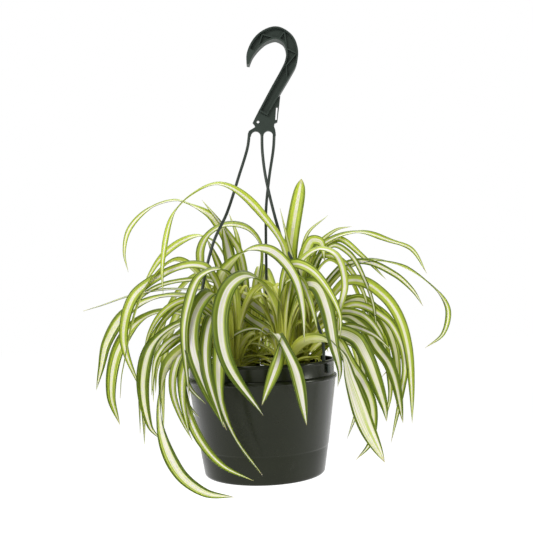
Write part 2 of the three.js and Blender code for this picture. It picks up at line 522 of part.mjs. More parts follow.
// ---- the assembly ----
const HOOK_BEARING = [29, 496.7];     // x and z of the underside of the bight

const plant = new THREE.Group();
const pot = makePot();
const soil = makeSoil(ROSETTES.map(({ at }) => at));
const hanger = makeHanger();
addMesh(plant, 'pot', pot, potPlastic);
addMesh(plant, 'soil', soil, pottingMix);
addMesh(plant, 'hanger', hanger, hangerPlastic);
makeRosettes(pot.add(soil).add(hanger)).forEach((leaves, i) => {
  addMesh(plant, ROSETTES[i].name, leaves, leafGreen);
});
plant.position.set(-HOOK_BEARING[0], 0, -HOOK_BEARING[1]);

export default plant;
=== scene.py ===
# Spider plant in a plastic hanging pot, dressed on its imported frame. Metres, +Z up, with the origin
# under the hook's bight. Sizes of the plant's own pieces are given in millimetres from the centre of
# the pot's underside, and placed() turns them into the frame's metres.
import math
import random

import bmesh
import bpy
from mathutils import Matrix, Vector, noise
from mathutils.bvhtree import BVHTree


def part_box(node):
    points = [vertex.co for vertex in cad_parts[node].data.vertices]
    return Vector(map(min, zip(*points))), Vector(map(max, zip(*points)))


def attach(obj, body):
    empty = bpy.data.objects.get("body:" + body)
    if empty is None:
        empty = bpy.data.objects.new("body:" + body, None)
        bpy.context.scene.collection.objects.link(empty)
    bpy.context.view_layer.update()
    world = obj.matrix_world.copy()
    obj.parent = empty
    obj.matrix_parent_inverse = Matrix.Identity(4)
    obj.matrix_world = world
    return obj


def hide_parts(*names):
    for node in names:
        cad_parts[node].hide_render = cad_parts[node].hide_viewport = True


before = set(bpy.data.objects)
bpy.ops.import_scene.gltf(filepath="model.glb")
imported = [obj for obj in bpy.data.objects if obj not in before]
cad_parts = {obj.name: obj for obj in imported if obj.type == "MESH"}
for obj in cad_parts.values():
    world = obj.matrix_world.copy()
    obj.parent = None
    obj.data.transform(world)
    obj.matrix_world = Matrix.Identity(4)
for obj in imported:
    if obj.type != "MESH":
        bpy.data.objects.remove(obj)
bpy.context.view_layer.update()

# ---- camera ----
# The photograph is taken from 0.8 m in front of the pot, at the height of the leaves, with the camera
# tipped up a little and turned slightly clockwise.
pot_low, pot_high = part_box("pot")
underside = Vector(((pot_low.x + pot_high.x) / 2, (pot_low.y + pot_high.y) / 2, pot_low.z))


def placed(x, y, z):
    return underside + Vector((x, y, z)) / 1000


PHOTO_SIZE = 533                       # pixels
FOCAL_PIXELS = 696
SENSOR = 36
CAMERA_PLACE = (9.5, -800, 187)
CAMERA_TILT = 3.21                     # degrees
CAMERA_ROLL = -2.0
camera_data = bpy.data.cameras.new("photo_camera")
camera_data.sensor_width = SENSOR
camera_data.lens = SENSOR * FOCAL_PIXELS / PHOTO_SIZE
camera_data.clip_start = 0.01
camera_data.clip_end = 60
camera = bpy.data.objects.new("photo_camera", camera_data)
camera.matrix_world = (Matrix.Translation(placed(*CAMERA_PLACE))
                       @ Matrix.Rotation(math.radians(90 + CAMERA_TILT), 4, "X")
                       @ Matrix.Rotation(math.radians(CAMERA_ROLL), 4, "Z"))
bpy.context.scene.collection.objects.link(camera)
bpy.context.scene.camera = camera

# ---- floor and light ----
# A plain white studio: a pale floor well below the hanging pot, a white surround, large soft lights from
# the upper left and from above, and a small low one on the right that shines on the collar.
FLOOR_DROP = 0.55                      # below the pot
FLOOR_REACH = 12
LIGHTS_AIM = 0.15                      # above the pot's underside
LAMPS = [                              # name, place from the aim, width and power
    ("key", (-0.9, -1.3, 0.9), 0.8, 23),
    ("side", (1.5, -0.5, -0.17), 0.3, 8),
    ("top", (0.2, 0.5, 1.2), 1.2, 20),
]
bpy.context.scene.view_settings.view_transform = "Standard"
floor_shape = bmesh.new()
bmesh.ops.create_grid(floor_shape, x_segments=1, y_segments=1, size=FLOOR_REACH)
bmesh.ops.translate(floor_shape, vec=(underside.x, 0, underside.z - FLOOR_DROP), verts=floor_shape.verts)
floor_mesh = bpy.data.meshes.new("floor")
floor_shape.to_mesh(floor_mesh)
floor_shape.free()
floor = bpy.data.objects.new("floor", floor_mesh)
bpy.context.scene.collection.objects.link(floor)
floor_paint = bpy.data.materials.new("pale floor")
floor_paint.use_nodes = True
floor_shader = floor_paint.node_tree.nodes["Principled BSDF"]
floor_shader.inputs["Base Color"].default_value = (0.93, 0.93, 0.93, 1)
floor_shader.inputs["Roughness"].default_value = 0.9
floor_shader.inputs["Emission Color"].default_value = (1, 1, 1, 1)
floor_shader.inputs["Emission Strength"].default_value = 0.5
floor.data.materials.append(floor_paint)

surround = bpy.data.worlds.new("white surround")
surround.use_nodes = True
air = surround.node_tree
seen = air.nodes.new("ShaderNodeBackground")
seen.inputs["Color"].default_value = (1, 1, 1, 1)
seen.inputs["Strength"].default_value = 1.0
shed = air.nodes["Background"]
shed.inputs["Color"].default_value = (1, 1, 1, 1)
shed.inputs["Strength"].default_value = 0.55
ray = air.nodes.new("ShaderNodeLightPath")
pick = air.nodes.new("ShaderNodeMixShader")
air.links.new(ray.outputs["Is Camera Ray"], pick.inputs[0])
air.links.new(shed.outputs[0], pick.inputs[1])
air.links.new(seen.outputs[0], pick.inputs[2])
air.links.new(pick.outputs[0], air.nodes["World Output"].inputs["Surface"])
bpy.context.scene.world = surround

for name, place, width, power in LAMPS:
    lamp = bpy.data.lights.new(name, "AREA")
    lamp.size = width
    lamp.energy = power
    softbox = bpy.data.objects.new(name, lamp)
    softbox.location = underside + Vector((0, 0, LIGHTS_AIM)) + Vector(place)
    softbox.rotation_euler = (-Vector(place)).to_track_quat("-Z", "Y").to_euler()
    bpy.context.scene.collection.objects.link(softbox)

# ---- pot ----
# A thin injection-moulded hanging pot: a tapered body, a rounded ledge, an upright collar with a rolled
# lip, three slots that the hanger's strands hook through, and drain holes in the underside.
POT_SIDES = 144
SHOULDER_RADIUS = 85
BASE_RADIUS = 68
SHOULDER_HEIGHT = 108.5
COLLAR_RADIUS = 82.5
COLLAR_TOP = SHOULDER_HEIGHT + 17
POT_WALL = 2
STRAP_ANGLES = (210, 330, 90)
SLOT_SIZE = (10, 5.4, 9.5)
SLOT_HEIGHT = 116.75
DRAIN_HOLES = 8
DRAIN_RADIUS = 4
DRAIN_RING = 50


def add_node(tree, kind, inputs={}, **settings):
    node = tree.nodes.new("ShaderNode" + kind)
    for setting, value in settings.items():
        setattr(node, setting, value)
    for socket, value in inputs.items():
        if isinstance(value, bpy.types.NodeSocket):
            tree.links.new(value, node.inputs[socket])
        else:
            node.inputs[socket].default_value = value
    return node


def reckoned(tree, operation, *terms, **settings):
    """What a Math node makes of the terms."""
    return add_node(tree, "Math", dict(enumerate(terms)), operation=operation, **settings).outputs[0]


def mixed(tree, share, first, second, **settings):
    """The colour that lies by that share on the way from the first to the second."""
    return add_node(tree, "Mix", {0: share, 6: first, 7: second}, data_type="RGBA", **settings).outputs[2]


def spread_over(tree, value, low, high, made_low=0.0, made_high=1.0, **settings):
    """The value's place between low and high, as a number from made_low to made_high."""
    ends = {"Value": value, "From Min": low, "From Max": high, "To Min": made_low, "To Max": made_high}
    return add_node(tree, "MapRange", ends, **settings).outputs[0]


def noise_at(tree, where, **sockets):
    """A noise's value at the place, with the sockets set by their names."""
    return add_node(tree, "TexNoise", {"Vector": where, **sockets}).outputs["Fac"]


# the uneven skin of moulded plastic: slow flow marks, fine grain and a few pale scuffs
skin = bpy.data.node_groups.new("moulded skin", "ShaderNodeTree")
skin.interface.new_socket("Colour", in_out="INPUT", socket_type="NodeSocketColor")
skin.interface.new_socket("Gloss", in_out="INPUT", socket_type="NodeSocketFloat")
skin.interface.new_socket("Colour", in_out="OUTPUT", socket_type="NodeSocketColor")
skin.interface.new_socket("Roughness", in_out="OUTPUT", socket_type="NodeSocketFloat")
skin.interface.new_socket("Height", in_out="OUTPUT", socket_type="NodeSocketFloat")
taken = skin.nodes.new("NodeGroupInput")
given = skin.nodes.new("NodeGroupOutput")
where = add_node(skin, "TexCoord").outputs["Object"]
flow = noise_at(skin, where, Scale=28, Detail=4, Roughness=0.6)
grain = noise_at(skin, where, Scale=1600, Detail=2)
scuff = noise_at(skin, where, Scale=90, Detail=6, Roughness=0.7, Distortion=1.2)
mottle = spread_over(skin, flow, 0.3, 0.7, 0.82, 1.2)
tinted = mixed(skin, 1.0, taken.outputs["Colour"], mottle, blend_type="MULTIPLY")
dusty = mixed(skin, spread_over(skin, scuff, 0.6, 0.8, 0, 0.3), tinted, (0.030, 0.032, 0.024, 1))
worn = reckoned(skin, "ADD", reckoned(skin, "MULTIPLY", flow, 0.16), taken.outputs["Gloss"])
relief = reckoned(skin, "MULTIPLY_ADD", flow, 6.0, grain)
skin.links.new(dusty, given.inputs["Colour"])
skin.links.new(worn, given.inputs["Roughness"])
skin.links.new(relief, given.inputs["Height"])


def moulded_plastic(name, colour, gloss):
    material = bpy.data.materials.new(name)
    material.use_nodes = True
    tree = material.node_tree
    shader = tree.nodes["Principled BSDF"]
    shell = add_node(tree, "Group", node_tree=skin)
    shell.inputs["Colour"].default_value = colour
    shell.inputs["Gloss"].default_value = gloss
    shader.inputs["Specular IOR Level"].default_value = 0.2
    shader.inputs["Specular Tint"].default_value = (0.95, 1, 0.86, 1)
    bump = add_node(tree, "Bump", {"Strength": 0.25, "Distance": 0.00012, "Height": shell.outputs["Height"]})
    tree.links.new(shell.outputs["Colour"], shader.inputs["Base Color"])
    tree.links.new(shell.outputs["Roughness"], shader.inputs["Roughness"])
    tree.links.new(bump.outputs[0], shader.inputs["Normal"])
    return material


def turned(shape, profile, sides):
    """A profile of [radius, height] points from axis to axis, spun round the pot's middle."""
    points = [shape.verts.new(placed(radius, 0, height)) for radius, height in profile]
    edges = [shape.edges.new(pair) for pair in zip(points, points[1:])]
    bmesh.ops.spin(shape, geom=points + edges, cent=underside, axis=(0, 0, 1), angle=2 * math.pi,
                   steps=sides, use_merge=True)
    bmesh.ops.remove_doubles(shape, verts=shape.verts, dist=1e-6)
    bmesh.ops.recalc_face_normals(shape, faces=shape.faces)


def finish_piece(name, shape, materials, node, crease=35):
    """The piece as an object on the frame, smooth but for its creases, standing for its CAD node."""
    mesh = bpy.data.meshes.new(name)
    shape.to_mesh(mesh)
    shape.free()
    mesh.polygons.foreach_set("use_smooth", [True] * len(mesh.polygons))
    mesh.set_sharp_from_angle(angle=math.radians(crease))
    for material in materials:
        mesh.materials.append(material)
    piece = bpy.data.objects.new(name, mesh)
    bpy.context.scene.collection.objects.link(piece)
    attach(piece, "root")
    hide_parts(node)
    return piece


def without(name, shape, cutters):
    """The shape with the cutters' shapes taken out of it."""
    meshes = []
    for part in (shape, cutters):
        mesh = bpy.data.meshes.new(name)
        part.to_mesh(mesh)
        part.free()
        meshes.append(bpy.data.objects.new(name + "_blank", mesh))
        bpy.context.scene.collection.objects.link(meshes[-1])
    blank, tool = meshes
    cut = blank.modifiers.new("openings", "BOOLEAN")
    cut.object = tool
    cut.solver = "EXACT"
    bpy.context.view_layer.update()
    carved = bmesh.new()
    carved.from_object(blank, bpy.context.evaluated_depsgraph_get())
    for part in meshes:
        bpy.data.objects.remove(part)
    return carved


pot_shape = bmesh.new()
turned(pot_shape, [
    (0, 1.2), (54, 1.2), (57, 0.4), (58.5, 0), (64.5, 0), (66.6, 0.5), (67.6, 1.6), (BASE_RADIUS, 3.4),
    (BASE_RADIUS + 4.3, 29.6), (BASE_RADIUS + 4.55, 31), (BASE_RADIUS + 4.7, 31.2), (BASE_RADIUS + 4.9, 31.7),
    (SHOULDER_RADIUS - 1.4, SHOULDER_HEIGHT - 4.6), (SHOULDER_RADIUS - 1.0, SHOULDER_HEIGHT - 4.1),
    (SHOULDER_RADIUS - 0.2, SHOULDER_HEIGHT - 3.6), (SHOULDER_RADIUS, SHOULDER_HEIGHT - 3),
    (SHOULDER_RADIUS, SHOULDER_HEIGHT - 1), (SHOULDER_RADIUS - 0.3, SHOULDER_HEIGHT - 0.3),
    (SHOULDER_RADIUS - 1, SHOULDER_HEIGHT), (COLLAR_RADIUS + 0.3, SHOULDER_HEIGHT + 0.1),
    (COLLAR_RADIUS - 0.4, SHOULDER_HEIGHT + 0.7), (COLLAR_RADIUS - 0.1, COLLAR_TOP - 4),
    (COLLAR_RADIUS + 0.2, COLLAR_TOP - 3.3), (COLLAR_RADIUS + 0.9, COLLAR_TOP - 2.8),
    (COLLAR_RADIUS + 1, COLLAR_TOP - 2), (COLLAR_RADIUS + 1, COLLAR_TOP - 0.8),
    (COLLAR_RADIUS + 0.7, COLLAR_TOP - 0.2), (COLLAR_RADIUS, COLLAR_TOP), (COLLAR_RADIUS - 1.4, COLLAR_TOP),
    (COLLAR_RADIUS - POT_WALL, COLLAR_TOP - 0.5), (COLLAR_RADIUS - POT_WALL - 0.3, SHOULDER_HEIGHT - 1),
    (SHOULDER_RADIUS - POT_WALL - 1.5, SHOULDER_HEIGHT - 6), (BASE_RADIUS - POT_WALL, 5.5),
    (BASE_RADIUS - POT_WALL - 3, 2.5), (0, 2.5),
], POT_SIDES)
openings = bmesh.new()
for number in range(DRAIN_HOLES):
    turn = math.radians(360 * (number + 0.5) / DRAIN_HOLES)
    hole_place = Matrix.Translation(placed(DRAIN_RING * math.cos(turn), DRAIN_RING * math.sin(turn), 0))
    bmesh.ops.create_cone(openings, segments=32, radius1=DRAIN_RADIUS / 1000, radius2=DRAIN_RADIUS / 1000,
                          depth=0.02, cap_ends=True, matrix=hole_place)
for angle in STRAP_ANGLES:
    turn = math.radians(angle)
    middle = placed(COLLAR_RADIUS * math.cos(turn), COLLAR_RADIUS * math.sin(turn), SLOT_HEIGHT)
    bmesh.ops.create_cube(openings, size=1, matrix=Matrix.Translation(middle) @ Matrix.Rotation(turn, 4, "Z")
                          @ Matrix.Diagonal((*[size / 1000 for size in SLOT_SIZE], 1)))
pot_plastic = moulded_plastic("dark grey-green plastic", (0.006, 0.0072, 0.0030, 1), 0.16)
finish_piece("hanging_pot", without("pot", pot_shape, openings), [pot_plastic], "pot")

# ---- potting mix ----
# Dark peat with bits of bark, filled into the pot to just under the collar's slots. Its top is uneven
# and strewn with loose crumbs, and the plant's crowns are rooted in it.
SOIL_HEIGHT = 108
SOIL_SIDES = 120
TOP_RINGS = 30
LUMPY_RADIUS = 77
CRUMBS = 420
CRUMB_REACH = 76
CRUMB_SEED = 4
soil_shape = bmesh.new()
turned(soil_shape, [(0, 2.8), (62.6, 2.8), (65.5, 5.7), (81, 102.3), (79.7, 106.1), (77.7, SOIL_HEIGHT)]
       + [(75 - 2.5 * step, SOIL_HEIGHT) for step in range(TOP_RINGS)] + [(0, SOIL_HEIGHT)], SOIL_SIDES)
for vert in soil_shape.verts:
    x, y, z = (vert.co - underside) * 1000
    if z > SOIL_HEIGHT - 0.1 and math.hypot(x, y) < LUMPY_RADIUS:
        lumps = 1.3 * math.sin(x * 0.43 + 1.3) * math.cos(y * 0.37) + 0.8 * math.sin(x * 0.19 - y * 0.27)
        crumbs = 1.6 * noise.fractal(Vector((x, y, 3)) * 0.16, 0.9, 2.1, 4)
        vert.co.z += (lumps - 0.6 + crumbs) / 1000
random.seed(CRUMB_SEED)
noise.seed_set(CRUMB_SEED)
for number in range(CRUMBS):
    turn = random.uniform(0, 2 * math.pi)
    away = CRUMB_REACH * math.sqrt(random.random())
    chip = random.uniform(0.6, 2.4) / 1000
    lie = Matrix.Rotation(random.uniform(0, math.pi), 4, "Z")
    lie = lie @ Matrix.Rotation(random.uniform(-0.6, 0.6), 4, "X")
    spot = placed(away * math.cos(turn), away * math.sin(turn), SOIL_HEIGHT + random.uniform(0, 1.2))
    made = bmesh.ops.create_icosphere(soil_shape, subdivisions=1, radius=chip, matrix=Matrix.Translation(spot)
                                      @ lie @ Matrix.Diagonal((1.6, 1, 0.6, 1)))
    for vert in made["verts"]:
        vert.co += noise.noise_vector(vert.co * 900) * chip * 0.5
mix = bpy.data.materials.new("potting mix")
mix.use_nodes = True
tree = mix.node_tree
peaty = tree.nodes["Principled BSDF"]
where = add_node(tree, "TexCoord").outputs["Object"]
clods = noise_at(tree, where, Scale=260, Detail=8, Roughness=0.7)
grit = add_node(tree, "TexVoronoi", {"Vector": where, "Scale": 700})
peat = add_node(tree, "ValToRGB", {"Fac": clods})
browns = ((0.3, (0.006, 0.004, 0.002, 1)), (0.75, (0.06, 0.038, 0.02, 1)))
for stop, (place, colour) in zip(peat.color_ramp.elements, browns):
    stop.position = place
    stop.color = colour
tree.links.new(peat.outputs[0], peaty.inputs["Base Color"])
rough = reckoned(tree, "MULTIPLY_ADD", clods, 1.5, grit.outputs["Distance"])
bump = add_node(tree, "Bump", {"Strength": 0.8, "Distance": 0.0008, "Height": rough})
tree.links.new(bump.outputs[0], peaty.inputs["Normal"])
peaty.inputs["Roughness"].default_value = 0.95
finish_piece("potting_mix", soil_shape, [mix], "soil", crease=60)

# ---- hanger ----
# One dark green moulding: a hook of channel section stiffened by thin zig-zag ribs, a flat head plate
# with an eye and a slot, and three round strands that spread to the collar and hook out through it.
HOOK_DEPTH = 11
FLANGE = 2.2
WEB = 2.4
PLATE_DEPTH = 3.6
STRAND_RADIUS = 1.7
# the hook's middle line from its tip over the bight and down the neck: x, z and half width
HOOK_LINE = [(-4, 468, 1.6), (-1, 480, 4), (7, 492.5, 6), (17.5, 501, 7), (31, 504, 7.5), (43.5, 496, 7),
             (48, 483, 7), (46.5, 470, 7), (41, 458.5, 6.6), (27, 435.5, 6.2), (11.5, 409.5, 5.6)]
RIB_CORNERS = [(8, 486), (14, 503), (33, 496.5), (40, 505.5), (42, 485), (53, 479), (40.5, 465), (41, 449)]
RIB_SINK = 0.8                         # below the hook's flanges, on each side
RIB_THICKNESS = 1.4
TIP_END = (3, 484)                     # x and z where the hook's solid tip ends and its channel starts
HOOK_STATIONS = 72
HEAD_BOTTOM = 384
EYE = (5.5, 400.5)
EYE_RADIUS = 1.7
EYE_SIDES = 16
ARCH_STEPS = 12
STRAND_STARTS = (-5, 9.6, 24)
STRAND_STEPS = 90
STRAND_SIDES = 14
# at each strand's end: how far out the piece starts and stops, its width, and its low and high side
PIN_AND_LUG = [(77, 83.9, 3.4, 118, 121.2), (82.9, 84.7, 4.4, 112.3, 120.9)]
STRANDS = [
    [(-5, 0, 388), (-7.5, -3, 371), (-18.5, -10, 336), (-33, -19, 293), (-49, -28, 258), (-64, -36.5, 195),
     (-68, -39.2, 150), (-67.7, -39.1, 117)],
    [(9.6, 0, 388), (9.4, -1.5, 365), (13, -6, 329), (29, -15, 258), (40, -22, 234), (61, -35, 172),
     (68, -39.2, 145), (67.7, -39.1, 117)],
    [(24, 0, 388), (22.5, 6, 371), (16.5, 24, 340), (11.5, 40, 305), (10, 55, 270), (8, 71, 205),
     (2, 78, 155), (0, 78.2, 117)],
]


def smooth_line(points, steps, spacing=0.0):
    """Points along a Catmull-Rom line through the given ones, even in parameter or centripetal."""
    points = [Vector(point) for point in points]
    padded = [2 * points[0] - points[1], *points, 2 * points[-1] - points[-2]]
    line = []
    for step in range(steps + 1):
        whole = min(step / steps * (len(points) - 1), len(points) - 1 - 1e-9)
        k = int(whole)
        p0, p1, p2, p3 = padded[k:k + 4]
        t1 = (p1 - p0).length ** spacing
        t2 = t1 + (p2 - p1).length ** spacing
        t3 = t2 + (p3 - p2).length ** spacing
        t = t1 + (whole - k) * (t2 - t1)
        a1 = p0 * (t1 - t) / t1 + p1 * t / t1
        a2 = p1 * (t2 - t) / (t2 - t1) + p2 * (t - t1) / (t2 - t1)
        a3 = p2 * (t3 - t) / (t3 - t2) + p3 * (t - t2) / (t3 - t2)
        b1 = a1 * (t2 - t) / t2 + a2 * t / t2
        b2 = a2 * (t3 - t) / (t3 - t1) + a3 * (t - t1) / (t3 - t1)
        line.append(b1 * (t2 - t) / (t2 - t1) + b2 * (t - t1) / (t2 - t1))
    return line


def grid_along(shape, across, along, place):
    """A grid whose points are laid by place(u, v), u from 0 to 1 across and v from 0 to 1 along."""
    made = []
    for vert in bmesh.ops.create_grid(shape, x_segments=across, y_segments=along, size=1)["verts"]:
        u, v = (vert.co.x + 1) / 2, (vert.co.y + 1) / 2
        vert.co = place(u, v)
        made.append((vert, u, v))
    return made


hanger_shape = bmesh.new()
# the hook: its side face, extruded to the hook's depth, then sunk on both sides to leave the flanges
middle = smooth_line(HOOK_LINE, HOOK_STATIONS)


def hook_side(u, v):
    step = round(v * HOOK_STATIONS)
    x, z, half = middle[step]
    ahead = middle[min(step + 1, HOOK_STATIONS)] - middle[max(step - 1, 0)]
    ahead = Vector((ahead.x, ahead.y)).normalized()
    reach = half * (1 - 2 * u)
    return placed(x - ahead.y * reach, -HOOK_DEPTH / 2, z + ahead.x * reach)


grid_along(hanger_shape, 2, HOOK_STATIONS, hook_side)
front = list(hanger_shape.faces)
made = bmesh.ops.extrude_face_region(hanger_shape, geom=front, use_keep_orig=True)["geom"]
back = [item for item in made if isinstance(item, bmesh.types.BMFace)]
bmesh.ops.translate(hanger_shape, vec=(0, HOOK_DEPTH / 1000, 0),
                    verts=[item for item in made if isinstance(item, bmesh.types.BMVert)])
bmesh.ops.recalc_face_normals(hanger_shape, faces=hanger_shape.faces)
for side in (front, back):
    faces = []
    for face in side:
        x, y, z = (face.calc_center_median() - underside) * 1000
        if x > TIP_END[0] or z > TIP_END[1]:
            faces.append(face)
    bmesh.ops.inset_region(hanger_shape, faces=faces, thickness=(FLANGE - 0.3) / 1000, use_even_offset=True)
    bmesh.ops.inset_region(hanger_shape, faces=faces, thickness=0.0003, depth=-(HOOK_DEPTH - WEB) / 2000,
                           use_even_offset=True)
for (x0, z0), (x1, z1) in zip(RIB_CORNERS, RIB_CORNERS[1:]):
    lean = math.atan2(z1 - z0, x1 - x0)
    size = Vector((math.hypot(x1 - x0, z1 - z0), HOOK_DEPTH - 2 * RIB_SINK, RIB_THICKNESS)) / 1000
    rib_place = Matrix.Translation(placed((x0 + x1) / 2, 0, (z0 + z1) / 2)) @ Matrix.Rotation(-lean, 4, "Y")
    bmesh.ops.create_cube(hanger_shape, size=1, matrix=rib_place @ Matrix.Diagonal((*size, 1)))
# the head plate: its outline with the arches between the strands, its eye and its slot
first, second, third = STRAND_STARTS
outline = [(first - STRAND_RADIUS, HEAD_BOTTOM), (first - 0.7, 390), (2, 394.5), (1.2, 397), (-0.8, 399.5),
           (8, 416), (32.5, 430), (28, 399.5), (24.6, 398), (24, 394.5), (third + 1.3, 390),
           (third + STRAND_RADIUS, HEAD_BOTTOM)]
for start, stop in ((second, third), (first, second)):
    arch = (stop - start) / 2 - STRAND_RADIUS
    for step in range(ARCH_STEPS + 1):
        turn = math.pi * step / ARCH_STEPS
        outline.append(((start + stop) / 2 + arch * math.cos(turn), HEAD_BOTTOM + arch * math.sin(turn)))
turns = [math.tau * step / EYE_SIDES for step in range(EYE_SIDES)]
eye = [(EYE[0] + EYE_RADIUS * math.cos(turn), EYE[1] + EYE_RADIUS * math.sin(turn)) for turn in turns]
slit = [(25.6, 402), (27.4, 402), (29, 417), (27.2, 417)]
rim = []
for loop in (outline, eye, slit):
    verts = [hanger_shape.verts.new(placed(x, -PLATE_DEPTH / 2, z)) for x, z in loop]
    rim += [hanger_shape.edges.new(pair) for pair in zip(verts, verts[1:] + verts[:1])]
sheet = bmesh.ops.triangle_fill(hanger_shape, edges=rim, use_beauty=True, normal=(0, -1, 0))["geom"]
sheet = [item for item in sheet if isinstance(item, bmesh.types.BMFace)]
thick = bmesh.ops.extrude_face_region(hanger_shape, geom=sheet, use_keep_orig=True)["geom"]
bmesh.ops.translate(hanger_shape, vec=(0, PLATE_DEPTH / 1000, 0),
                    verts=[item for item in thick if isinstance(item, bmesh.types.BMVert)])
# the strands, each with its pin out through the collar and the lug that holds it there
for points, angle in zip(STRANDS, STRAP_ANGLES):
    along = smooth_line(points, STRAND_STEPS, spacing=0.5)

    def strand_skin(u, v):
        step = round(v * STRAND_STEPS)
        ahead = (along[min(step + 1, STRAND_STEPS)] - along[max(step - 1, 0)]).normalized()
        out = ahead.cross(Vector((0, 1, 0))).normalized()
        turn = 2 * math.pi * u
        away = out * math.cos(turn) + ahead.cross(out) * math.sin(turn)
        return placed(*(along[step] + STRAND_RADIUS * away))

    grid_along(hanger_shape, STRAND_SIDES, STRAND_STEPS, strand_skin)
    for start, stop, width, low, high in PIN_AND_LUG:
        size = Vector((stop - start, width, high - low)) / 1000
        level = Matrix.Translation(placed(0, 0, (low + high) / 2))
        aim = Matrix.Rotation(math.radians(angle), 4, "Z")
        out = Matrix.Translation(((start + stop) / 2000, 0, 0))
        bmesh.ops.create_cube(hanger_shape, size=1, matrix=level @ aim @ out @ Matrix.Diagonal((*size, 1)))
bmesh.ops.remove_doubles(hanger_shape, verts=hanger_shape.verts, dist=1e-6)
bmesh.ops.holes_fill(hanger_shape, edges=hanger_shape.edges, sides=STRAND_SIDES)
bmesh.ops.recalc_face_normals(hanger_shape, faces=hanger_shape.faces)
hanger_plastic = moulded_plastic("dark green plastic", (0.024, 0.032, 0.027, 1), 0.22)
hanger = finish_piece("strand_hanger", hanger_shape, [hanger_plastic], "hanger")
rounded = hanger.modifiers.new("moulded corners", "BEVEL")
rounded.width = 0.0004
rounded.segments = 2
rounded.limit_method = "ANGLE"
rounded.angle_limit = math.radians(40)

# ---- leaves ----
# Four rosettes stand in the mix. Each leaf is a long blade folded along its midrib: it rises from the
# crown, arches over and tapers to a point, with green margins and a cream stripe down the middle.
CROWN_RADIUS = 9
CROWN_RISE = 21
